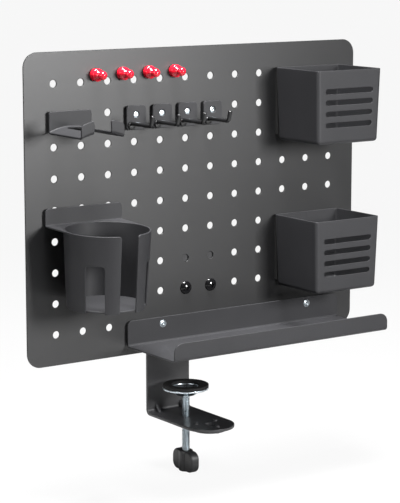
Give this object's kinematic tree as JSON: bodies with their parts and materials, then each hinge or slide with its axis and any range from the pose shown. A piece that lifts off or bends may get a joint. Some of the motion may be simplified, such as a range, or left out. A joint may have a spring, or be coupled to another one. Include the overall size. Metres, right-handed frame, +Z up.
{
  "type": "clamp-on pegboard desk organizer",
  "caption": "Punched steel panel on a screw desk clamp, with magnetic open bins, pen tray, cup holder, two-prong headset hanger, hooks and push pins.",
  "frame": {"origin": "on the desk's top face, under the upper jaw's pad, on the axis of the clamp screw", "axes": "+Z up along the clamp screw, +X to the right along the panel seen from the user, +Y away from the user through the panel"},
  "size_m": [0.394, 0.142, 0.4361],
  "materials": {
    "board": "satin black powder coat",
    "bracket": "satin black powder coat",
    "coated_sheet": "satin black powder coat",
    "black_screws": "glossy black lacquer",
    "black_rod": "semi-gloss black coat",
    "zinc": "bright zinc plate",
    "knob": "moulded, fine grain",
    "rubber": "matt",
    "pad": "matt foam rubber",
    "magnet_sheet": "matt magnet rubber",
    "red_plastic": "glossy",
    "magnet_metal": "nickel plate"
  },
  "bodies": {
    "base": {"pegboard": "board", "clamp_bracket": "bracket", "jaw_pad": "pad", "board_screws": "black_screws", "board_nuts": "zinc", "clamp_nut": "zinc", "plate_rivets": "bracket", "spare_nut_plate": "bracket"},
    "disc": {"clamp_disc": "zinc", "disc_rubber": "rubber"},
    "screw": {"clamp_screw": "zinc", "screw_knob": "knob"},
    "tray": {"tray": "coated_sheet", "tray_magnets": "magnet_sheet", "tray_rivets": "zinc"},
    "bin_upper": {"bin_upper": "coated_sheet", "bin_upper_magnet": "magnet_sheet"},
    "bin_lower": {"bin_lower": "coated_sheet", "bin_lower_magnet": "magnet_sheet"},
    "cup": {"cup_holder": "coated_sheet", "cup_floor": "coated_sheet", "cup_magnet": "magnet_sheet"},
    "hanger": {"headset_hanger": "coated_sheet", "hanger_magnet": "magnet_sheet"},
    "hook_1": {"hook_1_plate": "coated_sheet", "hook_1_rod": "black_rod", "hook_1_magnet": "magnet_sheet", "hook_1_rivet": "zinc"},
    "hook_2": {"hook_2_plate": "coated_sheet", "hook_2_rod": "black_rod", "hook_2_magnet": "magnet_sheet", "hook_2_rivet": "zinc"},
    "hook_3": {"hook_3_plate": "coated_sheet", "hook_3_rod": "black_rod", "hook_3_magnet": "magnet_sheet", "hook_3_rivet": "zinc"},
    "hook_4": {"hook_4_plate": "coated_sheet", "hook_4_rod": "black_rod", "hook_4_magnet": "magnet_sheet", "hook_4_rivet": "zinc"},
    "pin_1": {"pin_1_cap": "red_plastic", "pin_1_magnet": "magnet_metal"},
    "pin_2": {"pin_2_cap": "red_plastic", "pin_2_magnet": "magnet_metal"},
    "pin_3": {"pin_3_cap": "red_plastic", "pin_3_magnet": "magnet_metal"},
    "pin_4": {"pin_4_cap": "red_plastic", "pin_4_magnet": "magnet_metal"}
  },
  "joints": [
    {"name": "clamp_travel", "type": "slide", "parent": "base", "child": "disc", "axis": [0, 0, 1], "range_m": [-0.02, 0.025]},
    {"name": "screw_turn", "type": "hinge", "parent": "disc", "child": "screw", "pos_m": [0, 0, -0.06], "axis": [0, 0, 1], "range_deg": [-5761, 7201]},
    {"name": "tray_pull_off", "type": "slide", "parent": "base", "child": "tray", "axis": [0, -1, 0], "range_m": [0, 0.06]},
    {"name": "bin_upper_pull_off", "type": "slide", "parent": "base", "child": "bin_upper", "axis": [0, -1, 0], "range_m": [0, 0.06]},
    {"name": "bin_lower_pull_off", "type": "slide", "parent": "base", "child": "bin_lower", "axis": [0, -1, 0], "range_m": [0, 0.06]},
    {"name": "cup_pull_off", "type": "slide", "parent": "base", "child": "cup", "axis": [0, -1, 0], "range_m": [0, 0.06]},
    {"name": "hanger_pull_off", "type": "slide", "parent": "base", "child": "hanger", "axis": [0, -1, 0], "range_m": [0, 0.06]},
    {"name": "hook_1_pull_off", "type": "slide", "parent": "base", "child": "hook_1", "axis": [0, -1, 0], "range_m": [0, 0.06]},
    {"name": "hook_2_pull_off", "type": "slide", "parent": "base", "child": "hook_2", "axis": [0, -1, 0], "range_m": [0, 0.06]},
    {"name": "hook_3_pull_off", "type": "slide", "parent": "base", "child": "hook_3", "axis": [0, -1, 0], "range_m": [0, 0.06]},
    {"name": "hook_4_pull_off", "type": "slide", "parent": "base", "child": "hook_4", "axis": [0, -1, 0], "range_m": [0, 0.06]},
    {"name": "pin_1_pull_off", "type": "slide", "parent": "base", "child": "pin_1", "axis": [0, -1, 0], "range_m": [0, 0.03]},
    {"name": "pin_2_pull_off", "type": "slide", "parent": "base", "child": "pin_2", "axis": [0, -1, 0], "range_m": [0, 0.03]},
    {"name": "pin_3_pull_off", "type": "slide", "parent": "base", "child": "pin_3", "axis": [0, -1, 0], "range_m": [0, 0.03]},
    {"name": "pin_4_pull_off", "type": "slide", "parent": "base", "child": "pin_4", "axis": [0, -1, 0], "range_m": [0, 0.03]}
  ],
  "couplings": [
    {"joint": "screw_turn", "follows": "clamp_travel", "rad_per_m": 5026.5}
  ]
}
